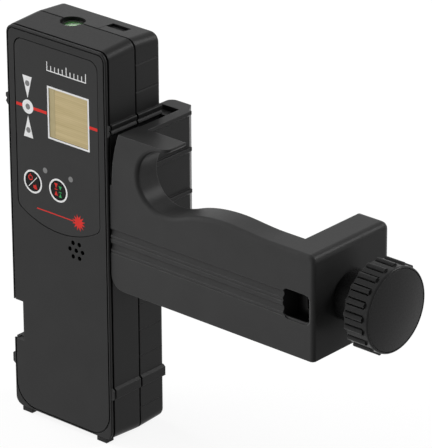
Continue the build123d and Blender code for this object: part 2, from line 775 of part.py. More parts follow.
def make_board_screws():
    shank = [rod_y(SMALL_SCREW_R, (BOARD_Y - SMALL_SCREW_REACH, BOARD_BACK), x, z) for x, z in POST_PLACES]
    heads = [rod_y(SMALL_HEAD_R, (BOARD_BACK, BOARD_BACK + SMALL_HEAD_T), x, z) for x, z in POST_PLACES]
    return Part() + shank + heads


def make_leds(places):
    lens = [rod_y(LED_R, (OVERLAY_BACK + LED_SINK, BOARD_Y), x, z) for x, z in places]
    base = [rod_y(LED_BASE_R, (BOARD_Y - LED_BASE_H, BOARD_Y), x, z) for x, z in places]
    return Part() + lens + base


def make_photodiode_array():
    return block(about(WINDOW_X, DIODE_W), (BOARD_Y - DIODE_T, BOARD_Y), about(REF_Z, DIODE_H))


def make_key_switches():
    span_y = (SWITCH_TOP, BOARD_Y)
    bodies = [block(about(x, SWITCH_S), span_y, about(z, SWITCH_S)) for x, z in KEY_PLACES]
    well = (SWITCH_TOP - PAST, PLUNGER_TOP + PLUNGER_L + KEY_TRAVEL + FIT)
    return Part() + bodies - [rod_y(PLUNGER_R + PLUNGER_GAP, well, x, z) for x, z in KEY_PLACES]


def make_plunger(x, z):
    return rod_y(PLUNGER_R, (PLUNGER_TOP, PLUNGER_TOP + PLUNGER_L), x, z)


def make_key(x, z):
    cap = rod_y(KEY_R, (OVERLAY_SINK - KEY_PROUD, COVER_T + KEY_GAP), x, z)
    cap = fillet(edges_at(cap, y=OVERLAY_SINK - KEY_PROUD), KEY_EDGE)
    flange = rod_y(KEY_FLANGE_R, (COVER_T + FIT, COVER_T + FIT + KEY_FLANGE_T), x, z)
    stem = rod_y(PLUNGER_R, (COVER_T + FIT, PLUNGER_TOP), x, z)
    return cap + flange + stem


def make_buzzer():
    return rod_y(BUZZER_R, (BOARD_Y - BUZZER_H, BOARD_Y), SOUND_X, SOUND_Z)


def make_controller_chip():
    span_z = about(REF_Z - CHIP_DROP, CHIP_S)
    return block(about(0, CHIP_S), (BOARD_BACK, BOARD_BACK + CHIP_T), span_z)


def make_graphic_overlay():
    sheet = slab(overlay_outline(), (OVERLAY_SINK, OVERLAY_BACK))
    sheet -= slab(window_square(WINDOW_GAP), (-PAST, PAST))
    return sheet - [rod_y(KEY_R + KEY_GAP, (-PAST, PAST), x, z) for x, z in KEY_PLACES]


def make_sensor_window():
    return slab(window_square(0), (WINDOW_SINK, WINDOW_SINK + WINDOW_T))


def make_level_vial():
    cup = rod_z(VIAL_R, (VIAL_BOTTOM, VIAL_TOP), VIAL_X, SPLIT_Y)
    return cup - rod_z(VIAL_R - VIAL_WALL, (VIAL_BOTTOM + VIAL_WALL, VIAL_TOP - VIAL_WALL), VIAL_X, SPLIT_Y)


def make_vial_spirit():
    return rod_z(VIAL_R - VIAL_WALL, (VIAL_BOTTOM + VIAL_WALL, VIAL_TOP - VIAL_WALL), VIAL_X, SPLIT_Y)


def make_top_magnet():
    top = CASE_TOP - MAGNET_SINK
    return block(about(MAGNET_X, MAGNET_W), about(MAGNET_Y, MAGNET_D), (top - MAGNET_H, top))


def make_threaded_inserts():
    sleeves = [rod_y(INSERT_R, (BACK_Y - INSERT_L, BACK_Y), x, z) for x, z in INSERT_PLACES]
    return Part() + sleeves - [rod_y(SCREW_R + FIT, (0, BACK_Y + PAST), x, z) for x, z in INSERT_PLACES]


def make_bracket_screws():
    seat = RETURN_FRONT
    shank = [rod_y(SCREW_R, (BACK_Y - INSERT_L, seat), x, z) for x, z in INSERT_PLACES]
    heads = [rod_y(HEAD_R, (seat, seat + BRACKET_HEAD_T), x, z) for x, z in INSERT_PLACES]
    screws = Part() + shank + heads
    return screws - [cross_recess(x, seat + BRACKET_HEAD_T, z) for x, z in INSERT_PLACES]


def arm_outline():
    """Front view of the arm: end block height, hump, finger scoop, reading shelf, relieved left edge."""
    scoop_x = SIDE_X + SCOOP_X
    scoop_z = REF_Z - SCOOP_DROP
    tip_x = SIDE_X + SHELF_TIP
    low = (scoop_x, scoop_z - SCOOP_R)
    high = (scoop_x, scoop_z + SCOOP_R)
    relief = (ARM_LEFT + RELIEF_STEP, REF_Z - RELIEF_DROP)
    shelf_start = (ARM_LEFT + SHELF_START, SHELF_TOP)
    edge = Polyline((ARM_LEFT + ARM_CORNER, ARM_BOTTOM), (BLOCK_END, ARM_BOTTOM), (BLOCK_END, ARM_TOP),
                    (SIDE_X + HUMP_END_X, ARM_TOP))
    rise = (SIDE_X + RISE_X, REF_Z - RISE_DROP)
    edge += Spline((SIDE_X + HUMP_END_X, ARM_TOP), (SIDE_X + HUMP_X, ARM_TOP + HUMP_LIFT), rise, low,
                   tangents=[(-1, 0), (-1, 0)])
    edge += ThreePointArc(low, (scoop_x - SCOOP_R, scoop_z), high)
    edge += Polyline(high, (tip_x, high[1]), (tip_x, SHELF_TOP), shelf_start)
    edge += TangentArc(relief, shelf_start, tangent=(0, 1))
    corner = (ARM_LEFT, ARM_BOTTOM + ARM_CORNER)
    edge += Polyline(relief, (ARM_LEFT, relief[1]), corner)
    edge += TangentArc(corner, (ARM_LEFT + ARM_CORNER, ARM_BOTTOM), tangent=(0, -1))
    return make_face(edge)


def fixed_jaw():
    """Jaw wall beside the case, tapered at its far end, with a return behind the case."""
    wall_x = JAW_X - JAW_WALL
    left = SIDE_X - RETURN_REACH
    start = ARM_FRONT + ARM_EDGE
    edge = Polyline((wall_x, start), (JAW_X, start), (JAW_X, JAW_END_Y), (JAW_X - JAW_TAPER, RETURN_BACK),
                    (left, RETURN_BACK), (left, RETURN_FRONT), (wall_x, RETURN_FRONT), close=True)
    outline = make_face(edge)
    corner = [v for v in outline.vertices() if v.X < left + FIT and v.Y > RETURN_BACK - FIT]
    return plan(fillet(corner, RETURN_R), (ARM_BOTTOM, SHELF_TOP))


def jaw_rib(z):
    """Gripping rib along the fixed jaw: flat on top and at its tip, sloped below."""
    half = RIB_H / 2
    edge = Polyline((JAW_X - JAW_WALL / 2, z + half), (RIB_X, z + half), (RIB_X, z + half - RIB_TIP),
                    (JAW_X, z - half), (JAW_X - JAW_WALL / 2, z - half), close=True)
    return slab(make_face(edge), (RIB_START, JAW_END_Y))


def rib_heights():
    middle = REF_Z - RIB_DROP - RIB_H / 2 + RIB_TIP / 2
    first = -(RIB_COUNT // 2)
    low_ribs = [middle + (first + index) * RIB_PITCH for index in range(RIB_COUNT)]
    return low_ribs + [SHELF_TOP - RIB_H / 2]


def top_front_edges(bracket):
    """Front edges of the scoop, the hump and the end block, below the reading shelf."""
    found = []
    for edge in edges_at(bracket, y=ARM_FRONT):
        middle = edge @ 0.5
        if middle.X > ARM_LEFT + SHELF_START and AXIS_Z + ARM_CORNER < middle.Z < SHELF_TOP - FIT:
            found.append(edge)
    return found


def make_clamp_bracket():
    bracket = slab(arm_outline(), (ARM_FRONT, ARM_BACK))
    bracket = fillet(edges_at(bracket, x=SIDE_X + SHELF_TIP, y=ARM_FRONT), SHELF_CORNER)
    bracket += block((BLOCK_X, BLOCK_END), (ARM_FRONT, BLOCK_BACK), (ARM_BOTTOM, ARM_TOP))
    bracket = fillet(edges_at(bracket, x=BLOCK_END, z=ARM_TOP) + edges_at(bracket, x=BLOCK_END, y=BLOCK_BACK)
                     + edges_at(bracket, y=BLOCK_BACK, z=ARM_TOP), BLOCK_FILLET)
    bracket = fillet(top_front_edges(bracket), ARM_EDGE)
    bracket += fixed_jaw()
    flange_end = JAW_X - JAW_WALL / 2
    bracket += block((FLANGE_X, flange_end), (BACK_Y, RETURN_FRONT), (FLANGE_Z, FLANGE_Z + FLANGE_H))
    web_x = (SIDE_X - RETURN_REACH, flange_end)
    bracket += block(web_x, (BACK_Y + ARM_FIT, RETURN_FRONT), (FLANGE_Z, SHELF_TOP - WEB_DROP))
    bracket += [jaw_rib(z) for z in rib_heights()]
    hole = (BACK_Y - PAST, RETURN_FRONT + PAST)
    bracket -= [rod_y(SCREW_R + HOLE_GAP, hole, x, z) for x, z in INSERT_PLACES]
    bracket -= flutes()
    bracket -= nut_pocket()
    bracket -= rod_x(CLAMP_R + HOLE_GAP, (BLOCK_X - PAST, BLOCK_END + PAST), AXIS_Y, AXIS_Z)
    return bracket


def flutes():
    """Two shallow round flutes along the arm to the nut pocket, each with a fine line below it."""
    span = (ARM_LEFT - PAST, NUT_X)
    cuts = []
    for side in (-1, 1):
        z = AXIS_Z + side * FLUTE_PITCH / 2
        cuts.append(rod_x(FLUTE_R, span, ARM_FRONT + FLUTE_DEPTH - FLUTE_R, z))
        line_y = ARM_FRONT + FLUTE_LINE_DEPTH - FLUTE_LINE_R
        cuts.append(rod_x(FLUTE_LINE_R, span, line_y, z - FLUTE_LINE_DROP))
    return cuts


def nut_pocket():
    """Pocket for the nut: a lipped mouth on the arm's front, and a wider space behind the mouth's wall."""
    width = NUT_T + 2 * NUT_GAP
    height = NUT_S + 2 * NUT_GAP
    middle = Pos(NUT_X + (width - MOUTH_W) / 2, AXIS_Z)
    mouth = middle * RectangleRounded(MOUTH_W, MOUTH_H, MOUTH_R)
    lip = RectangleRounded(MOUTH_W + MOUTH_LIP, MOUTH_H + MOUTH_LIP, MOUTH_R + MOUTH_LIP)
    lip = middle * Pos(MOUTH_LIP / 2, -MOUTH_LIP / 2) * lip
    deep = block(about(NUT_X, width), (ARM_FRONT, AXIS_Y + height / 2), about(AXIS_Z, height))
    wide = middle * Pos(MOUTH_GROW / 2, -MOUTH_FALL / 2) * Rectangle(MOUTH_W + MOUTH_GROW, MOUTH_H + MOUTH_FALL)
    pocket = slab(mouth, (ARM_FRONT - PAST, ARM_FRONT + MOUTH_DEPTH)) + deep
    pocket += slab(wide, (ARM_FRONT + MOUTH_WALL, ARM_FRONT + MOUTH_DEPTH))
    return pocket + slab(lip, (ARM_FRONT - PAST, ARM_FRONT + MOUTH_STEP))


def make_clamp_nut():
    nut = block(about(NUT_X, NUT_T), about(AXIS_Y, NUT_S), about(AXIS_Z, NUT_S))
    return nut - rod_x(CLAMP_R + RUN_GAP, (BLOCK_X, BLOCK_END), AXIS_Y, AXIS_Z)


def jaw_spans(inset=0.0):
    front = ARM_BACK + JAW_FRONT_GAP
    return ((front + inset, front + JAW_W - inset), (AXIS_Z - JAW_FALL + inset, AXIS_Z + JAW_RISE - inset))


def make_movable_jaw():
    jaw = block((JAW_BLOCK_X, JAW_BACK_X), *jaw_spans())
    jaw = fillet(edges_at(jaw, x=JAW_BACK_X), JAW_EDGE)
    jaw -= rod_x(CLAMP_TIP_R + RUN_GAP, (JAW_BLOCK_X - PAST, JAW_BACK_X + PAST), AXIS_Y, AXIS_Z)
    return jaw - rod_x(CLIP_POCKET_R, (JAW_BLOCK_X - PAST, JAW_BLOCK_X + CLIP_POCKET_T), AXIS_Y, AXIS_Z)


def make_jaw_pad():
    span_y, span_z = jaw_spans(PAD_INSET)
    pad = block((PAD_X, JAW_BLOCK_X), span_y, span_z)
    pitch = (span_y[1] - span_y[0]) / (PAD_GROOVES + 1)
    reach = (span_z[0] - PAST, span_z[1] + PAST)
    for index in range(PAD_GROOVES):
        pad -= rod_z(PAD_GROOVE_R, reach, PAD_X, span_y[0] + pitch * (index + 1))
    return pad


def make_thrust_washer():
    disc = rod_x(WASHER_R, (JAW_BACK_X, SHOULDER_X), AXIS_Y, AXIS_Z)
    return disc - rod_x(CLAMP_TIP_R + RUN_GAP, (JAW_BLOCK_X, SHOULDER_X + PAST), AXIS_Y, AXIS_Z)


def clip_span():
    back = JAW_BLOCK_X + CLIP_POCKET_T - FIT
    return back - CLIP_T, back


def make_clamp_screw():
    screw = rod_x(CLAMP_R, (SHOULDER_X, CLAMP_END), AXIS_Y, AXIS_Z)
    tip = JAW_BLOCK_X + TIP_END
    screw += rod_x(CLAMP_TIP_R, (tip, SHOULDER_X + FIT), AXIS_Y, AXIS_Z)
    groove = rod_x(CLAMP_TIP_R + PAST, clip_span(), AXIS_Y, AXIS_Z)
    groove -= rod_x(CLAMP_TIP_R - CLIP_NECK, clip_span(), AXIS_Y, AXIS_Z)
    return screw - groove


def make_retaining_clip():
    ring = rod_x(CLIP_R, clip_span(), AXIS_Y, AXIS_Z)
    neck = CLAMP_TIP_R - CLIP_NECK
    ring -= rod_x(neck, (JAW_BLOCK_X - PAST, JAW_BACK_X), AXIS_Y, AXIS_Z)
    mouth = block((JAW_BLOCK_X - PAST, JAW_BACK_X), about(AXIS_Y, neck * 1.6), (AXIS_Z, AXIS_Z + CLIP_R))
    return ring - mouth


def make_clamp_knob():
    knob = rod_x(KNOB_R, (KNOB_X, KNOB_FACE), AXIS_Y, AXIS_Z)
    knob = fillet(edges_at(knob, x=KNOB_X) + edges_at(knob, x=KNOB_FACE), KNOB_EDGE)
    knob += rod_x(HUB_R, (HUB_X, KNOB_X + KNOB_EDGE), AXIS_Y, AXIS_Z)
    rib_x = (KNOB_X + KNOB_EDGE, KNOB_FACE - KNOB_BAND)
    rib_r = KNOB_R + KNOB_RIB_PROUD - KNOB_RIB_R
    for index in range(KNOB_RIBS):
        angle = 2 * math.pi * (index + KNOB_RIB_TURN) / KNOB_RIBS
        across = math.cos(angle)
        up = math.sin(angle)
        trough_r = rib_r + KNOB_TROUGH_LIFT
        knob -= rod_x(KNOB_TROUGH_R, rib_x, AXIS_Y + trough_r * across, AXIS_Z + trough_r * up)
        knob += rod_x(KNOB_RIB_R, rib_x, AXIS_Y + rib_r * across, AXIS_Z + rib_r * up)
    knob -= rod_x(KNOB_R - CAP_RIM, (CAP_X, KNOB_FACE + PAST), AXIS_Y, AXIS_Z)
    return knob - rod_x(CLAMP_R + FIT, (HUB_X - PAST, CLAMP_END), AXIS_Y, AXIS_Z)


def make_knob_cap():
    radius = KNOB_R - CAP_RIM - CAP_GAP
    peak = KNOB_FACE - CAP_SINK + CAP_CROWN
    disc = rod_x(radius, (CAP_X, peak), AXIS_Y, AXIS_Z)
    crown_r = (radius ** 2 + CAP_CROWN ** 2) / (2 * CAP_CROWN)
    return disc & Pos(peak - crown_r, AXIS_Y, AXIS_Z) * Sphere(crown_r)


def export(name, piece):
    """Write one piece, moved so that the origin is on the fixed jaw."""
    offset = Pos(*[-value for value in ORIGIN])
    export_step(offset * piece, os.path.join("parts", name + ".step"))


def main():
    os.makedirs("parts", exist_ok=True)
    (power_x, power_z), (mode_x, mode_z) = KEY_PLACES
    export("front_cover", make_front_cover())
    export("front_shell", make_front_shell())
    export("rear_shell", make_rear_shell())
    export("case_screws", make_case_screws())
    export("graphic_overlay", make_graphic_overlay())
    export("sensor_window", make_sensor_window())
    export("power_key", make_key(power_x, power_z))
    export("mode_key", make_key(mode_x, mode_z))
    export("power_plunger", make_plunger(power_x, power_z))
    export("mode_plunger", make_plunger(mode_x, mode_z))
    export("key_switches", make_key_switches())
    export("main_board", make_main_board())
    export("board_screws", make_board_screws())
    export("indicator_leds", make_leds(ARROW_PLACES))
    export("mode_leds", make_leds(MODE_LED_PLACES))
    export("photodiode_array", make_photodiode_array())
    export("buzzer", make_buzzer())
    export("controller_chip", make_controller_chip())
    export("lead_connector", make_lead_connector())
    export("battery_leads", make_battery_leads())
    export("battery_snap", make_battery_snap())
    export("battery", make_battery())
    export("battery_door", make_battery_door())
    export("door_foam", make_door_foam())
    export("door_pin", make_hinge_pin())
    export("level_vial", make_level_vial())
    export("vial_spirit", make_vial_spirit())
    export("top_magnet", make_top_magnet())
    export("threaded_inserts", make_threaded_inserts())
    export("clamp_bracket", make_clamp_bracket())
    export("bracket_screws", make_bracket_screws())
    export("clamp_nut", make_clamp_nut())
    export("movable_jaw", make_movable_jaw())
    export("jaw_pad", make_jaw_pad())
    export("thrust_washer", make_thrust_washer())
    export("retaining_clip", make_retaining_clip())
    export("clamp_screw", make_clamp_screw())
    export("clamp_knob", make_clamp_knob())
    export("knob_cap", make_knob_cap())


main()
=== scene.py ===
import json
import math

import bmesh
import bpy
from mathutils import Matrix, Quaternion, Vector


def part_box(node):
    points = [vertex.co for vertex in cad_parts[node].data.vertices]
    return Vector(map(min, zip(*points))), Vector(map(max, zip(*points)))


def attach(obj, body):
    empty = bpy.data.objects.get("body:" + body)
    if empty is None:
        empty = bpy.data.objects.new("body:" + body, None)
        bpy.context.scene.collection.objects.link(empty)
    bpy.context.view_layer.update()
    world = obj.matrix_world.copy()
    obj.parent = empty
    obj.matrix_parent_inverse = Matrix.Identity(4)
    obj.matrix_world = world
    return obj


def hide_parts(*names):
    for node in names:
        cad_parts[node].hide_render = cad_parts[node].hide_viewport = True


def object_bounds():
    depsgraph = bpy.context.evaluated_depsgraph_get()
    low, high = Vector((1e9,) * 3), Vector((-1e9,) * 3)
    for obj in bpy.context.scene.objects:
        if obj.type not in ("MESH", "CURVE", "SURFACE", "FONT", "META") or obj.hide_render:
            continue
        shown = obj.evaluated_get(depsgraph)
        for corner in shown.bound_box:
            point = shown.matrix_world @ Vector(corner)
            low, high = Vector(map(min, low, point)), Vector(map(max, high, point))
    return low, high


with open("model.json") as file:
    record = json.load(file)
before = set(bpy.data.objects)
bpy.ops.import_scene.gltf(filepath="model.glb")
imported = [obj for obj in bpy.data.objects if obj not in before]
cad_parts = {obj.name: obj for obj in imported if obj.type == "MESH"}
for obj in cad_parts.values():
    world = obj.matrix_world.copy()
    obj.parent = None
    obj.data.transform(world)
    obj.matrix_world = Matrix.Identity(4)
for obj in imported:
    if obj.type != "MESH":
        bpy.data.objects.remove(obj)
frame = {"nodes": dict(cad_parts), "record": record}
cad_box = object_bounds()

MM = 0.001
FULL_TURN = 2 * math.pi

# The detector's own frame has X on its centreline, Y on the front of its cover and Z on the soles
# of its feet. This is that frame's origin in the row frame, in millimetres.
DETECTOR_ORIGIN = Vector((-35.9, -24.3, -98.95))

# Camera, in degrees and millimetres: the front and the knob's side, from a little above
VIEW_AZIMUTH = 41.59
VIEW_HEIGHT = 23.92
VIEW_ROLL = -0.33
VIEW_DISTANCE = 1500.0
VIEW_AIM = (55.46, 28.07, 93.51)
LENS = 318.5
SENSOR = 36.0


def spot(x, y, z):
    """Point of the detector's frame, in millimetres, as a row-frame point in metres."""
    return (Vector((x, y, z)) + DETECTOR_ORIGIN) * MM


def linear(code):
    """sRGB hex value as linear colour."""
    channels = [int(code[start:start + 2], 16) / 255 for start in (1, 3, 5)]
    return (*[c / 12.92 if c <= 0.04045 else ((c + 0.055) / 1.055) ** 2.4 for c in channels], 1.0)


def per_mm(size):
    """Texture scale at which one feature is about this many millimetres wide."""
    return 1 / (size * MM)


def blank(name):
    """Material with no nodes yet."""
    material = bpy.data.materials.new(name)
    material.use_nodes = True
    material.node_tree.nodes.clear()
    return material


def add(material, kind, inputs, **settings):
    """Adds a node with its settings, its sockets set to values or linked from other sockets."""
    node = material.node_tree.nodes.new(kind)
    for name, value in settings.items():
        setattr(node, name, value)
    for name, value in inputs.items():
        if isinstance(value, bpy.types.NodeSocket):
            material.node_tree.links.new(value, node.inputs[name])
        else:
            node.inputs[name].default_value = value
    return node.outputs


# Grain of a spark-eroded mould is about 0.1 mm; it is drawn 0.7 mm wide so that it shows.
ERODED_MM = 0.7
GRAIN_STRENGTH = 0.7
# Clouds that the flow of the melt leaves in the tone, and the grain's swing in roughness
MOTTLE_MM = 12.0
SHEEN_SWING = 0.08
# Radius that a mould leaves on an edge, and the wider one on the bracket, whose edges are rubbed and
# carry a wider painted highlight
EDGE_MM = 0.2
WIDE_EDGE_MM = 0.4
# Cosine of an edge's turn at which its lighter tone, partly wear and partly a painted highlight, starts
# to show and shows in full, and its share there
WEAR_HIGHLIGHT_FROM, WEAR_HIGHLIGHT_FULL = 0.99, 0.85
WEAR_HIGHLIGHT_SHARE = 0.8
# How near the walls of a recess stand for it to take painted shade
PAINTED_SHADE_MM = 4.0
# Open share of a recess's view at which its painted shade is full or gone, and the share of the dark
# tone that the painted shade keeps
FULL_SHADE_AT, NO_SHADE_AT = 0.15, 0.75
PAINTED_SHADE_SHARE = 0.25
PLASTIC_IOR = 1.53


def moulded(name, low, high, worn_and_highlight, roughness, gloss, grain_mm, grain_depth_mm, edge_mm=EDGE_MM):
    """Moulded plastic or rubber: a faint mottle in colour and sheen, the grain of an eroded mould,
    lighter edges that are partly handling wear and partly a painted highlight, and painted shade in
    recesses."""
    material = blank(name)
    place = add(material, "ShaderNodeTexCoord", {})["Object"]
    mottle = add(material, "ShaderNodeTexNoise",
                 {"Vector": place, "Scale": per_mm(MOTTLE_MM), "Detail": 5.0})["Fac"]
    grain = add(material, "ShaderNodeTexNoise",
                {"Vector": place, "Scale": per_mm(grain_mm), "Detail": 3.0})["Fac"]
    tone = add(material, "ShaderNodeMix",
               {0: mottle, 6: linear(low), 7: linear(high)}, data_type="RGBA")[2]
    soft = add(material, "ShaderNodeBevel", {"Radius": edge_mm * MM}, samples=6)[0]
    flat = add(material, "ShaderNodeNewGeometry", {})["Normal"]
    turn = add(material, "ShaderNodeVectorMath", {0: soft, 1: flat}, operation="DOT_PRODUCT")["Value"]
    # Lighter edges: partly wear from handling, partly a painted edge highlight
    wear_and_highlight_mask = add(material, "ShaderNodeMapRange",
                 {"Value": turn, "From Min": WEAR_HIGHLIGHT_FROM, "From Max": WEAR_HIGHLIGHT_FULL,
                  "To Min": 0.0, "To Max": WEAR_HIGHLIGHT_SHARE})[0]
    wear_and_highlight_tone = add(material, "ShaderNodeMix",
                   {0: wear_and_highlight_mask, 6: tone, 7: linear(worn_and_highlight)}, data_type="RGBA")[2]
    # Painted shade: recesses are darkened by ambient occlusion, where shade falls
    reach = add(material, "ShaderNodeAmbientOcclusion",
                {"Distance": PAINTED_SHADE_MM * MM}, samples=8, only_local=True)["AO"]
    unshaded_share = add(material, "ShaderNodeMapRange",
                        {"Value": reach, "From Min": FULL_SHADE_AT, "From Max": NO_SHADE_AT})[0]
    painted_shade = [channel * PAINTED_SHADE_SHARE for channel in linear(low)[:3]] + [1.0]
    colour = add(material, "ShaderNodeMix",
                 {0: unshaded_share, 6: painted_shade, 7: wear_and_highlight_tone}, data_type="RGBA")[2]
    sheen = add(material, "ShaderNodeMapRange",
                {"Value": grain, "To Min": roughness - SHEEN_SWING,
                 "To Max": roughness + SHEEN_SWING})[0]
    relief = add(material, "ShaderNodeBump",
                 {"Height": grain, "Distance": grain_depth_mm * MM, "Strength": GRAIN_STRENGTH,
                  "Normal": soft})[0]
    shader = add(material, "ShaderNodeBsdfPrincipled",
                 {"Base Color": colour, "Roughness": sheen, "Normal": relief, "IOR": PLASTIC_IOR,
                  "Specular IOR Level": gloss})[0]
    add(material, "ShaderNodeOutputMaterial", {"Surface": shader})
    return material


POLISH_SWING = 0.1


def plated(name, low, high, roughness, streak_mm):
    """Plated or turned metal: fine streaks in its tone and polish."""
    material = blank(name)
    place = add(material, "ShaderNodeTexCoord", {})["Object"]
    streak = add(material, "ShaderNodeTexNoise",
                 {"Vector": place, "Scale": per_mm(streak_mm), "Detail": 5.0})["Fac"]
    colour = add(material, "ShaderNodeMix",
                 {0: streak, 6: linear(low), 7: linear(high)}, data_type="RGBA")[2]
    polish = add(material, "ShaderNodeMapRange",
                 {"Value": streak, "To Min": roughness - POLISH_SWING,
                  "To Max": roughness + POLISH_SWING})[0]
    shader = add(material, "ShaderNodeBsdfPrincipled",
                 {"Base Color": colour, "Roughness": polish, "Metallic": 1.0})[0]
    add(material, "ShaderNodeOutputMaterial", {"Surface": shader})
    return material


INK_COVER_MM = 2.5
INK_ROUGHNESS, INK_IOR, INK_GLOSS = 0.5, 1.5, 0.2


def printed(name, low, high):
    """Screen-printed ink: a satin film that covers a little unevenly."""
    material = blank(name)
    place = add(material, "ShaderNodeTexCoord", {})["Object"]
    cover = add(material, "ShaderNodeTexNoise",
                {"Vector": place, "Scale": per_mm(INK_COVER_MM), "Detail": 3.0})["Fac"]
    colour = add(material, "ShaderNodeMix",
                 {0: cover, 6: linear(low), 7: linear(high)}, data_type="RGBA")[2]
    shader = add(material, "ShaderNodeBsdfPrincipled",
                 {"Base Color": colour, "Roughness": INK_ROUGHNESS, "IOR": INK_IOR,
                  "Specular IOR Level": INK_GLOSS})[0]
    add(material, "ShaderNodeOutputMaterial", {"Surface": shader})
    return material


ACRYLIC_IOR = 1.49
FILTER_ROUGHNESS, FILTER_GLOSS = 0.3, 0.2
# Rows of lighter and darker lines: their height, how far they are drawn out, and the lines' share
ROW_MM = 1.3
ROW_STRETCH = (0.06, 0.06, 1.0)
LINE_SHARE = 0.1


def lined_filter(name, low, high, pitch_mm):
    """Tinted acrylic over a sheet with fine level lines, some rows lighter than others."""
    material = blank(name)
    place = add(material, "ShaderNodeTexCoord", {})["Object"]
    split = add(material, "ShaderNodeSeparateXYZ", {0: place})
    rows = add(material, "ShaderNodeMath",
               {0: split["Z"], 1: FULL_TURN / (pitch_mm * MM)}, operation="MULTIPLY")[0]
    wave = add(material, "ShaderNodeMath", {0: rows}, operation="SINE")[0]
    level = add(material, "ShaderNodeMapping", {"Vector": place, "Scale": ROW_STRETCH})[0]
    drift = add(material, "ShaderNodeTexNoise",
                {"Vector": level, "Scale": per_mm(ROW_MM), "Detail": 4.0})["Fac"]
    lines = add(material, "ShaderNodeMath",
                {0: wave, 1: LINE_SHARE, 2: drift}, operation="MULTIPLY_ADD")[0]
    colour = add(material, "ShaderNodeMix",
                 {0: lines, 6: linear(low), 7: linear(high)}, data_type="RGBA")[2]
    shader = add(material, "ShaderNodeBsdfPrincipled",
                 {"Base Color": colour, "Roughness": FILTER_ROUGHNESS, "IOR": ACRYLIC_IOR,
                  "Specular IOR Level": FILTER_GLOSS})[0]
    add(material, "ShaderNodeOutputMaterial", {"Surface": shader})
    return material


FLOW_MM = 3.0


def see_through(name, low, high, roughness, ior, through):
    """Clear or dyed material that light passes, with faint flow lines in its tint."""
    material = blank(name)
    place = add(material, "ShaderNodeTexCoord", {})["Object"]
    flow = add(material, "ShaderNodeTexNoise",
               {"Vector": place, "Scale": per_mm(FLOW_MM), "Detail": 2.0})["Fac"]
    colour = add(material, "ShaderNodeMix",
                 {0: flow, 6: linear(low), 7: linear(high)}, data_type="RGBA")[2]
    shader = add(material, "ShaderNodeBsdfPrincipled",
                 {"Base Color": colour, "Roughness": roughness, "IOR": ior,
                  "Transmission Weight": through})[0]
    add(material, "ShaderNodeOutputMaterial", {"Surface": shader})
    return material


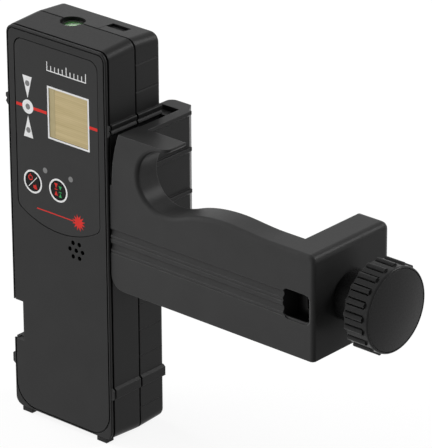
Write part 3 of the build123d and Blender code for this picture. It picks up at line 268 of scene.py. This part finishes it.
# A moulded finish has its dark and light tones and the lighter tone of its edges, which is partly wear
# and partly a painted highlight, its roughness and gloss, and its grain's width and depth in
# millimetres. A plated one has its tones, roughness and streak width, and a see-through one its tones,
# roughness, IOR and the share of light that passes.
finish = {
    # ABS from a spark-eroded mould: dull near-black, a soft sheen on its tops and corners
    "case_plastic": moulded("abs_case", "#1b1b1b", "#212121", "#4c4c4c", 0.41, 0.13, ERODED_MM, 0.02),
    # ABS from a smoother mould: an even dark grey on the front
    "cover_plastic": moulded("abs_cover", "#2f2f2f", "#353535", "#4c4c4c", 0.42, 0.08, ERODED_MM, 0.015),
    # Polyester film, matt lacquered: even grey, almost no grain
    "overlay_film": moulded("polyester_film", "#343434", "#383838", "#383838", 0.5, 0.08, 1.2, 0.005),
    # Tinted acrylic over the sensor: tan, with fine level lines behind it
    "window_filter": lined_filter("acrylic_filter", "#a8966b", "#cbba90", 0.8),
    # Silicone rubber: soft and dull
    "key_rubber": moulded("silicone_key", "#171717", "#1c1c1c", "#242424", 0.6, 0.1, ERODED_MM, 0.02),
    # Epoxy lens with diffuser: milky grey
    "led_lens": moulded("epoxy_lens", "#6f6f6f", "#7d7d7d", "#8a8a8a", 0.3, 0.4, 1.0, 0.004),
    # Glass-epoxy laminate under green solder mask: glossy green with the weave just showing
    "board_laminate": moulded("glass_epoxy_board", "#0d4421", "#14572a", "#1d6d38", 0.35, 0.4,
                              0.9, 0.02),
    # Glass-filled nylon bodies of small components: dull black
    "component_plastic": moulded("nylon_component", "#161616", "#1e1e1e", "#2c2c2c", 0.5, 0.3,
                                 0.6, 0.02),
    # Dark filter epoxy: near-black with a red cast, glossy
    "photodiode_resin": moulded("filter_epoxy", "#1c0d10", "#261216", "#33181d", 0.2, 0.5, 1.0, 0.003),
    # Soft PVC lead insulation: satin red
    "lead_insulation": moulded("pvc_insulation", "#7e1414", "#931a1a", "#a02323", 0.45, 0.4, 0.6, 0.01),
    # Zinc-plated steel: bright, a little clouded
    "screw_steel": plated("zinc_plated_steel", "#a0a2a4", "#bfc1c3", 0.34, 0.5),
    # Turned brass: warm, with turning streaks
    "brass": plated("turned_brass", "#b08d45", "#c9a65a", 0.32, 0.5),
    # Polished acrylic of the level's cup: light comes through it, with a faint green edge
    "clear_acrylic": see_through("polished_acrylic", "#e8f4e4", "#f2faf0", 0.04, ACRYLIC_IOR, 0.95),
    # Dyed mineral spirit: clear strong green
    "spirit_green": see_through("dyed_spirit", "#378f30", "#45a53c", 0.02, 1.36, 0.35),
    # Sintered ferrite: nearly black, gritty
    "ferrite": moulded("sintered_ferrite", "#131313", "#1a1a1a", "#262626", 0.6, 0.2, 0.5, 0.03),
    # Glass-filled nylon from a spark-eroded mould: dark grey, lighter than the case
    "bracket_plastic": moulded("nylon_bracket", "#383838", "#404040", "#5e5e5e", 0.33, 0.06, 0.8, 0.025,
                               WIDE_EDGE_MM),
    # Nitrile rubber: black and dull
    "pad_rubber": moulded("nitrile_rubber", "#141414", "#1a1a1a", "#242424", 0.75, 0.15, 0.6, 0.03),
    # ABS from a satin mould: near-black, with the sharpest sheen of the mouldings outside
    "knob_plastic": moulded("abs_knob", "#222222", "#282828", "#5c5c5c", 0.28, 0.11, ERODED_MM, 0.012),
    # Lacquered steel jacket: dark and glossy
    "battery_jacket": moulded("lacquered_jacket", "#1b1b1d", "#242428", "#44444a", 0.3, 0.4, 1.5, 0.004),
    # Closed-cell polyethylene foam: matt, with burst cells
    "door_foam": moulded("polyethylene_foam", "#191919", "#262626", "#2c2c2c", 0.9, 0.1, 0.5, 0.12),
}
# Screen inks on the film and the keys: opaque and satin, a little uneven where the mesh laid them
white_ink = printed("white_ink", "#dedede", "#e8e8e8")
red_ink = printed("red_ink", "#c9302b", "#d63832")
green_ink = printed("green_ink", "#2f9150", "#3ca25e")
# Translucent grey ink over the lights: the unlit lamp shows as a mid grey
grey_ink = printed("grey_ink", "#737373", "#808080")
# Painted shade on the window's left: a tan film, duller than the filter, standing for the recess wall's
# shadow on the sheet behind
window_shade_ink = printed("window_shade_film", "#a59874", "#b3a681")
# Black ink on the level's lid: a fine dark ring
black_ink = printed("black_ink", "#0c0c0c", "#141414")
# Air bubble under the lid, with the dye showing through; its pale green is partly a painted highlight of
# the lit crescent in the spirit
bubble_and_highlight = see_through("bubble_and_highlight", "#6fbf62", "#86cf78", 0.1, 1.2, 0.3)

for part in frame["record"]["subparts"]:
    solid = frame["nodes"][part["node"]]
    solid.data.materials.clear()
    solid.data.materials.append(finish[part["material_slot"]])


# Sides of a circle or a turned piece, what counts as one point, and the sharpest smoothed edge
ROUND_SIDES = 64
WELD = 1e-7
SMOOTH_TO = math.radians(35)
INK_T = 0.03


def show(name, mesh, material, body):
    """Object of a finished mesh that rides on a body."""
    mesh.materials.append(material)
    piece = bpy.data.objects.new(name, mesh)
    bpy.context.scene.collection.objects.link(piece)
    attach(piece, body)
    return piece


def meshed(name, bm):
    """Mesh of what was built, its faces turned outwards."""
    bmesh.ops.recalc_face_normals(bm, faces=bm.faces)
    mesh = bpy.data.meshes.new(name)
    bm.to_mesh(mesh)
    bm.free()
    return mesh


def finished(name, bm, material, body):
    """Object of what was built, shaded smooth between its sharp edges."""
    bmesh.ops.remove_doubles(bm, verts=bm.verts, dist=WELD)
    mesh = meshed(name, bm)
    mesh.polygons.foreach_set("use_smooth", [True] * len(mesh.polygons))
    mesh.set_sharp_from_angle(angle=SMOOTH_TO)
    return show(name, mesh, material, body)


def turned(name, base, axis, rows, material, body, closed=False):
    """Turned piece: rings round an axis, each with its place along it and its radius."""
    along = Vector(axis)
    side = along.orthogonal().normalized()
    across = along.cross(side)
    bm = bmesh.new()
    rings = []
    for place, radius in rows:
        turns = [FULL_TURN * i / ROUND_SIDES for i in range(ROUND_SIDES)]
        rims = [side * radius * math.cos(a) + across * radius * math.sin(a) for a in turns]
        rings.append([bm.verts.new(spot(*base) + (along * place + rim) * MM) for rim in rims])
    pairs = list(zip(rings, rings[1:])) + ([(rings[-1], rings[0])] if closed else [])
    for low, high in pairs:
        for i in range(ROUND_SIDES):
            bm.faces.new((low[i - 1], low[i], high[i], high[i - 1]))
    if not closed:
        bm.faces.new(rings[0])
        bm.faces.new(rings[-1])
    return finished(name, bm, material, body)


def print_on(name, face_y, outlines, material, body="detector"):
    """Ink film on a face that looks forwards. Each outline is its points in X and Z, or a pair of
    such rows, outer and inner, of equal count."""
    bm = bmesh.new()
    for outline in outlines:
        rows = outline if isinstance(outline[0], list) else [outline]
        loops = []
        for row in rows:
            front = [bm.verts.new(spot(x, face_y - INK_T, z)) for x, z in row]
            back = [bm.verts.new(spot(x, face_y, z)) for x, z in row]
            loops.append((front, back))
            for i in range(len(row)):
                bm.faces.new((front[i - 1], front[i], back[i], back[i - 1]))
        for side in (0, 1):
            if len(rows) == 1:
                bm.faces.new(loops[0][side])
            else:
                outer, inner = loops[0][side], loops[1][side]
                for i in range(len(outer)):
                    bm.faces.new((outer[i - 1], outer[i], inner[i], inner[i - 1]))
    show(name, meshed(name, bm), material, body)


# Clamp screw: tip, clip groove, journal in the jaw, collar, and a right-hand trapezoidal thread
SCREW_Y, SCREW_Z = 22.0, 88.05
SCREW_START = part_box("clamp_screw")[0].x / MM - DETECTOR_ORIGIN.x
SCREW_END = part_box("clamp_screw")[1].x / MM - DETECTOR_ORIGIN.x
ROD_R, JOURNAL_R = 4.0, 3.0
TIP_R, TIP_L = 2.6, 0.4
GROOVE_X, GROOVE_R = (63.05, 63.85), 2.4
COLLAR_X, COLLAR_EDGE = (71.3, 72.3), 0.3
THREAD_LEAD = 2.5
THREAD_CREST, THREAD_ROOT = 3.97, 2.85
# The shank lies a little under the thread's root, so that the two faces don't meet.
SHANK_ROOT = THREAD_ROOT - 0.1
THREAD_FROM, THREAD_TO = 72.6, 129.0
THREAD_FADE = 2.0
THREAD_SIDES = 48
NECK_X = 129.5
# One lead of the thread: the share of the lead, and 1 on the crest or 0 in the root
THREAD_SHAPE = ((0.0, 0.0), (0.31, 0.0), (0.5, 1.0), (0.81, 1.0), (1.0, 0.0))


def thread():
    """Helical strip of the thread's shape, faded out into its root at both ends."""
    bm = bmesh.new()
    turns = int((THREAD_TO - THREAD_FROM) / THREAD_LEAD) + 2
    rows = []
    for i in range(turns * THREAD_SIDES + 1):
        turn = FULL_TURN * i / THREAD_SIDES
        row = []
        for share, height in THREAD_SHAPE:
            x = THREAD_FROM + THREAD_LEAD * (i / THREAD_SIDES - 1 + share)
            x = min(max(x, THREAD_FROM), THREAD_TO)
            fade = min(1.0, (x - THREAD_FROM) / THREAD_FADE, (THREAD_TO - x) / THREAD_FADE)
            radius = THREAD_ROOT + (THREAD_CREST - THREAD_ROOT) * height * fade
            y, z = SCREW_Y + radius * math.cos(turn), SCREW_Z + radius * math.sin(turn)
            row.append(bm.verts.new(spot(x, y, z)))
        rows.append(row)
    for low, high in zip(rows, rows[1:]):
        for i in range(len(THREAD_SHAPE) - 1):
            bm.faces.new((low[i], low[i + 1], high[i + 1], high[i]))
    return bm


shank_rows = [
    (SCREW_START, TIP_R), (SCREW_START + TIP_L, JOURNAL_R),
    (GROOVE_X[0], JOURNAL_R), (GROOVE_X[0], GROOVE_R), (GROOVE_X[1], GROOVE_R), (GROOVE_X[1], JOURNAL_R),
    (COLLAR_X[0], JOURNAL_R), (COLLAR_X[0], ROD_R - COLLAR_EDGE), (COLLAR_X[0] + COLLAR_EDGE, ROD_R),
    (COLLAR_X[1], ROD_R), (THREAD_FROM, SHANK_ROOT), (THREAD_TO, SHANK_ROOT),
    (NECK_X, ROD_R), (SCREW_END, ROD_R)]
shank = turned("clamp_screw_shank", (0, SCREW_Y, SCREW_Z), (1, 0, 0), shank_rows,
               finish["screw_steel"], "screw")
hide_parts("clamp_screw")
finished("clamp_screw_thread", thread(), finish["screw_steel"], "screw")

# Bubble level: spirit with the bubble's hollow in it, the bubble and the ring on the lid
VIAL_AT = (-5.9, 16.2, 0.0)
SPIRIT_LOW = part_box("vial_spirit")[0].z / MM - DETECTOR_ORIGIN.z
SPIRIT_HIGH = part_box("vial_spirit")[1].z / MM - DETECTOR_ORIGIN.z
VIAL_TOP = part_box("level_vial")[1].z / MM - DETECTOR_ORIGIN.z
SPIRIT_R = 3.98
# Smallest ring, with which a turned piece closes on its axis
AXIS_R = 0.05
BUBBLE_R, BUBBLE_T = 1.5, 0.6
BUBBLE_STEPS = 8
# The bubble's clearance in its hollow: below, under the lid, and as a share of the radius
BUBBLE_LIFT, BUBBLE_DROP, BUBBLE_SHARE = 0.03, 0.02, 0.97
MARK_R = (3.2, 3.45)

hollow = [(SPIRIT_HIGH - BUBBLE_T, AXIS_R)]
for step in range(1, BUBBLE_STEPS + 1):
    depth = 1 - step / BUBBLE_STEPS
    hollow.append((SPIRIT_HIGH - BUBBLE_T * depth ** 2, BUBBLE_R * math.sqrt(1 - depth ** 2)))
spirit = turned("spirit_fill", VIAL_AT, (0, 0, 1),
                hollow + [(SPIRIT_HIGH, SPIRIT_R), (SPIRIT_LOW, SPIRIT_R), (SPIRIT_LOW, AXIS_R)],
                finish["spirit_green"], "detector")
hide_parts("vial_spirit")
bubble_rows = [(z + BUBBLE_LIFT, r * BUBBLE_SHARE) for z, r in hollow[:-1]]
bubble_rows.append((SPIRIT_HIGH - BUBBLE_DROP, BUBBLE_R * BUBBLE_SHARE))
turned("level_bubble", VIAL_AT, (0, 0, 1), bubble_rows, bubble_and_highlight, "detector")
mark_rows = [(VIAL_TOP, MARK_R[0]), (VIAL_TOP, MARK_R[1]),
             (VIAL_TOP + INK_T, MARK_R[1]), (VIAL_TOP + INK_T, MARK_R[0])]
turned("level_ring_mark", VIAL_AT, (0, 0, 1), mark_rows, black_ink, "detector",
       closed=True)

# Foam strip: its edge in millimetres, and as shares of its size how far its sides and ends are drawn
# in, its height, how much less of that its corners have, and its dents. The dents are two waves, each
# by its turn in radians from the strip's middle to its side or end, and its start.
FOAM_EDGE = 0.5
FOAM_SIDE, FOAM_END = 0.025, 0.008
FOAM_HEIGHT, FOAM_CROWN, FOAM_DENT = 0.94, 0.1, 0.03
WAVE_ACROSS, WAVE_ALONG = (9, 2.1), (23, 0.7)
FOAM_COLUMNS, FOAM_ROWS = 24, 60


def foam_strip():
    """Foam strip on the battery door: soft rounded edges, sides drawn in a little, crowned where the
    battery presses."""
    low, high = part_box("door_foam")
    centre, half = (low + high) / 2, (high - low) / 2
    thick = high.y - low.y
    edge = FOAM_EDGE * MM
    bm = bmesh.new()
    for inner in (True, False):
        sheet = []
        for j in range(FOAM_ROWS + 1):
            v = 2 * j / FOAM_ROWS - 1
            line = []
            for i in range(FOAM_COLUMNS + 1):
                u = 2 * i / FOAM_COLUMNS - 1
                x = half.x * u * (1 - FOAM_SIDE * (1 - v * v))
                z = half.z * v * (1 - FOAM_END * (1 - u * u))
                inset = min((1 - abs(u)) * half.x, (1 - abs(v)) * half.z, edge) / edge
                rise = math.sqrt(1 - (1 - inset) ** 2)
                waves = math.sin(WAVE_ACROSS[0] * u + WAVE_ACROSS[1])
                waves *= math.sin(WAVE_ALONG[0] * v + WAVE_ALONG[1])
                height = FOAM_HEIGHT - FOAM_CROWN * (u * u + v * v) / 2 + FOAM_DENT * waves
                lift = thick * rise * height if inner else 0.0
                line.append(bm.verts.new((centre.x + x, high.y - lift, centre.z + z)))
            sheet.append(line)
        for j in range(FOAM_ROWS):
            for i in range(FOAM_COLUMNS):
                bm.faces.new((sheet[j][i], sheet[j][i + 1], sheet[j + 1][i + 1], sheet[j + 1][i]))
    strip = finished("foam_strip", bm, finish["door_foam"], "door")
    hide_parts("door_foam")


foam_strip()


def circle(x, z, radius):
    """Circle round a point."""
    turns = [FULL_TURN * i / ROUND_SIDES for i in range(ROUND_SIDES)]
    return [(x + radius * math.cos(a), z + radius * math.sin(a)) for a in turns]


def ring(x, z, outer, inner):
    """Ring round a point, by its two radii."""
    return [circle(x, z, outer), circle(x, z, inner)]


def bar(x, z, width, height):
    """Upright rectangle round a point."""
    return [(x - width / 2, z - height / 2), (x + width / 2, z - height / 2),
            (x + width / 2, z + height / 2), (x - width / 2, z + height / 2)]


def stroke(start, end, width):
    """Straight stroke of a width between two points."""
    along = Vector((end[0] - start[0], end[1] - start[1])).normalized()
    across = Vector((-along.y, along.x)) * width / 2
    a, b = Vector(start), Vector(end)
    return [tuple(a - across), tuple(b - across), tuple(b + across), tuple(a + across)]


def frame_of(x, z, size, width):
    """Square frame, drawn from its outer edge inwards."""
    return [bar(x, z, size, size), bar(x, z, size - 2 * width, size - 2 * width)]


def arrow(x, base_z, tip_z, width):
    """Plain triangle that points up or down."""
    return [(x - width / 2, base_z), (x + width / 2, base_z), (x, tip_z)]


def burst(x, z, core, reach, count):
    """Star of fine rays round a core."""
    points = []
    for i in range(2 * count):
        angle = FULL_TURN * i / (2 * count)
        radius = reach if i % 2 else core
        points.append((x + radius * math.cos(angle), z + radius * math.sin(angle)))
    return points


# Print, in millimetres of the detector's frame
OVERLAY_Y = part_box("graphic_overlay")[0].y / MM - DETECTOR_ORIGIN.y
KEY_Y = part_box("power_key")[0].y / MM - DETECTOR_ORIGIN.y
WINDOW_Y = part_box("sensor_window")[0].y / MM - DETECTOR_ORIGIN.y
REF_Z = 131.95
# Window, with a band of painted shade on its left and the frame printed round it
WINDOW_X, WINDOW_S = 5.9, 20.0
SHADE_BAND_W = 3.1
FRAME_X, FRAME_S, FRAME_W = WINDOW_X + 0.2, 21.6, 0.75
# Tick scale over the window, with a tall tick at its ends and its middle
SCALE_X, SCALE_Z = (-4.5, 15.5), REF_Z + 17.0
SCALE_STEP, TALL_EVERY = 2.0, 5
SCALE_LINE, SHORT_TICK, TALL_TICK = 0.4, 2.0, 3.4
# Reference line, broken at the level's ring and at the window
LINE_Z, LINE_H = REF_Z - 0.6, 1.2
LINE_SPANS = ((-21.2, -18.0), (-12.2, -5.2), (16.9, 21.1))
# Column of lights: an arrow over and under the line, each with its light, and a ring on the line
ARROW_X, ARROW_W = -15.1, 4.9
ARROW_BASE, ARROW_TIP, ARROW_LIGHT = 12.6, 3.6, 9.6
LEVEL_RING = (2.85, 1.2)
LIGHT_R = 1.15
# Keys, each with a ring round it and a light beyond its upper right
POWER_X, MODE_X, KEY_Z = -13.4, 0.0, 100.75
KEY_RING = (4.8, 4.05)
KEY_LIGHT_X, KEY_LIGHT_Z = 6.65, 6.5
# Beam that ends in a star
BEAM_X, BEAM_Z, BEAM_W, BEAM_H = -1.9, 90.3, 19.4, 0.45
STAR_X, STAR_CORE, STAR_REACH, STAR_RAYS = 10.4, 1.8, 3.5, 12

scale_w = SCALE_X[1] - SCALE_X[0]
ticks = [bar((SCALE_X[0] + SCALE_X[1]) / 2, SCALE_Z, scale_w + SCALE_LINE, SCALE_LINE)]
for step in range(int(scale_w / SCALE_STEP) + 1):
    tall = SHORT_TICK if step % TALL_EVERY else TALL_TICK
    tick_z = SCALE_Z + SCALE_LINE / 2 + tall / 2
    ticks.append(bar(SCALE_X[0] + step * SCALE_STEP, tick_z, SCALE_LINE, tall))
print_on("scale_print", OVERLAY_Y, ticks, white_ink)
print_on("window_frame_print", OVERLAY_Y, [frame_of(FRAME_X, REF_Z, FRAME_S, FRAME_W)], white_ink)
# Band of painted shade on the window's left, printed on the window
shade_band_x = WINDOW_X - (WINDOW_S - SHADE_BAND_W) / 2
print_on("window_shade_print", WINDOW_Y, [bar(shade_band_x, REF_Z, SHADE_BAND_W, WINDOW_S)], window_shade_ink)
print_on("reference_line_print", OVERLAY_Y,
         [bar((left + right) / 2, LINE_Z, right - left, LINE_H) for left, right in LINE_SPANS], red_ink)
for name, side in (("high", 1), ("low", -1)):
    base_z, tip_z, light_z = (LINE_Z + side * rise for rise in (ARROW_BASE, ARROW_TIP, ARROW_LIGHT))
    print_on(f"{name}_arrow_print", OVERLAY_Y, [arrow(ARROW_X, base_z, tip_z, ARROW_W)], white_ink)
    print_on(f"{name}_light_print", OVERLAY_Y - INK_T, [circle(ARROW_X, light_z, LIGHT_R)], grey_ink)
print_on("level_ring_print", OVERLAY_Y, [ring(ARROW_X, LINE_Z, *LEVEL_RING)], white_ink)
print_on("level_light_print", OVERLAY_Y, [circle(ARROW_X, LINE_Z, LIGHT_R)], grey_ink)
print_on("key_rings_print", OVERLAY_Y, [ring(x, KEY_Z, *KEY_RING) for x in (POWER_X, MODE_X)], white_ink)
print_on("mode_lights_print", OVERLAY_Y,
         [circle(x + KEY_LIGHT_X, KEY_Z + KEY_LIGHT_Z, LIGHT_R) for x in (POWER_X, MODE_X)], grey_ink)
print_on("beam_print", OVERLAY_Y,
         [bar(BEAM_X, BEAM_Z, BEAM_W, BEAM_H), burst(STAR_X, BEAM_Z, STAR_CORE, STAR_REACH, STAR_RAYS)],
         red_ink)

# Power key: a slash between a ring with a stem, upper left, and a small horn, lower right
SLASH_FROM, SLASH_TO, SLASH_W = (POWER_X - 2.3, KEY_Z - 2.4), (POWER_X + 2.3, KEY_Z + 2.3), 0.3
SWITCH_X, SWITCH_Z, SWITCH_RING = POWER_X - 1.2, KEY_Z + 1.5, (1.15, 0.75)
STEM_Z, STEM_W, STEM_H = KEY_Z + 2.6, 0.4, 1.2
HORN_X, HORN_Z, HORN_W, HORN_H = POWER_X + 0.7, KEY_Z - 1.8, 0.9, 1.2
BELL_X, BELL_BASE, BELL_TIP, BELL_W = POWER_X + 1.5, KEY_Z - 2.8, KEY_Z - 0.6, 1.6
print_on("power_slash_print", KEY_Y, [stroke(SLASH_FROM, SLASH_TO, SLASH_W)], white_ink,
         "power_button")
print_on("power_sign_print", KEY_Y,
         [ring(SWITCH_X, SWITCH_Z, *SWITCH_RING), bar(SWITCH_X, STEM_Z, STEM_W, STEM_H),
          bar(HORN_X, HORN_Z, HORN_W, HORN_H), arrow(BELL_X, BELL_BASE, BELL_TIP, BELL_W)],
         red_ink, "power_button")
# Mode key: two columns of signs, each by its place from the key's middle, the width of its arrows, the
# base and tip of the upper one, the bar's place, width and height, and the lower arrow's base and tip
MODE_SIGNS = (("mode_coarse_print", red_ink, -1.1, 1.7, (2.8, 0.8), (0.3, 1.5, 0.4), (-2.2, -0.2)),
              ("mode_fine_print", green_ink, 1.1, 1.5, (2.0, 0.4), (-0.5, 1.4, 0.35), (-2.6, -1.0)))
for name, ink, across, width, upper, (rise, bar_w, bar_h), lower in MODE_SIGNS:
    x = MODE_X + across
    print_on(name, KEY_Y,
             [arrow(x, KEY_Z + upper[0], KEY_Z + upper[1], width), bar(x, KEY_Z + rise, bar_w, bar_h),
              arrow(x, KEY_Z + lower[0], KEY_Z + lower[1], width)], ink, "mode_button")

# Floor and backdrop: what the eye sees of them is white, and little of that falls on the object.
FLOOR_TONE, FLOOR_GLOW = "#707070", 0.88
FLOOR_Z, FLOOR_HALF = cad_box[0][2], 6.0
WHITE = (1.0, 1.0, 1.0, 1.0)
BACKDROP_FILL, BACKDROP_SEEN = 0.1, 1.0


def seen(owner):
    """1 on rays that show the background to the eye: straight, mirrored or through clear pieces."""
    rays = add(owner, "ShaderNodeLightPath", {})
    mirrored = add(owner, "ShaderNodeMath",
                   {0: rays["Is Camera Ray"], 1: rays["Is Glossy Ray"]}, operation="MAXIMUM")[0]
    return add(owner, "ShaderNodeMath",
               {0: mirrored, 1: rays["Is Transmission Ray"]}, operation="MAXIMUM")[0]


def pale_floor():
    """Matt pale floor: white to the eye and in reflections, and darker where the object shades it."""
    material = blank("pale_floor")
    matt = add(material, "ShaderNodeBsdfDiffuse", {"Color": linear(FLOOR_TONE)})[0]
    glow = add(material, "ShaderNodeEmission", {"Color": WHITE, "Strength": FLOOR_GLOW})[0]
    lifted = add(material, "ShaderNodeAddShader", {0: matt, 1: glow})[0]
    chosen = add(material, "ShaderNodeMixShader", {0: seen(material), 1: matt, 2: lifted})[0]
    add(material, "ShaderNodeOutputMaterial", {"Surface": chosen})
    return material


floor_mesh = bpy.data.meshes.new("floor")
floor_mesh.from_pydata([(-FLOOR_HALF, -FLOOR_HALF, FLOOR_Z), (FLOOR_HALF, -FLOOR_HALF, FLOOR_Z),
                        (FLOOR_HALF, FLOOR_HALF, FLOOR_Z), (-FLOOR_HALF, FLOOR_HALF, FLOOR_Z)],
                       [], [(0, 1, 2, 3)])
floor_mesh.materials.append(pale_floor())
floor = bpy.data.objects.new("floor", floor_mesh)
bpy.context.scene.collection.objects.link(floor)

world = bpy.data.worlds.new("studio")
world.use_nodes = True
world.node_tree.nodes.clear()
level = add(world, "ShaderNodeMapRange",
            {"Value": seen(world), "To Min": BACKDROP_FILL, "To Max": BACKDROP_SEEN})[0]
sky = add(world, "ShaderNodeBackground", {"Color": WHITE, "Strength": level})[0]
add(world, "ShaderNodeOutputWorld", {"Surface": sky})
bpy.context.scene.world = world


def softbox(name, place, size, power, mirrored=True):
    """Softbox, by its width and height in metres and its watts, that faces the object. One that isn't
    mirrored lights the object but leaves no image of itself in a sheen."""
    lamp = bpy.data.lights.new(name, "AREA")
    lamp.shape = "RECTANGLE"
    lamp.size, lamp.size_y = size
    lamp.energy = power
    holder = bpy.data.objects.new(name, lamp)
    holder.location = place
    holder.visible_glossy = mirrored
    holder.rotation_euler = (spot(*VIEW_AIM) - Vector(place)).to_track_quat("-Z", "Y").to_euler()
    bpy.context.scene.collection.objects.link(holder)


# Three softboxes that leave no image of themselves: from above on the left, low in front on the left,
# and low behind on the right. A fourth, behind on the right, draws the light along the edges.
softbox("left_softbox", (-1.0, -0.2, 0.95), (1.0, 1.0), 13.0, mirrored=False)
softbox("front_softbox", (-0.98, -1.1, 0.12), (2.4, 0.45), 27.0, mirrored=False)
softbox("back_softbox", (0.75, 1.15, 0.12), (1.0, 0.5), 4.2, mirrored=False)
softbox("rim_softbox", (0.63, 0.89, 0.71), (0.5, 0.5), 6.5)

camera_data = bpy.data.cameras.new("camera")
camera_data.lens = LENS
camera_data.sensor_width = SENSOR
camera_data.clip_start = 0.05
camera = bpy.data.objects.new("camera", camera_data)
azimuth, height = math.radians(VIEW_AZIMUTH), math.radians(VIEW_HEIGHT)
back = Vector((math.sin(azimuth) * math.cos(height), -math.cos(azimuth) * math.cos(height),
               math.sin(height)))
camera.location = spot(*VIEW_AIM) + back * VIEW_DISTANCE * MM
level_turn = (-back).to_track_quat("-Z", "Y")
camera.rotation_euler = (level_turn @ Quaternion((0, 0, 1), math.radians(VIEW_ROLL))).to_euler()
bpy.context.scene.collection.objects.link(camera)
bpy.context.scene.camera = camera
bpy.context.scene.view_settings.view_transform = "Standard"
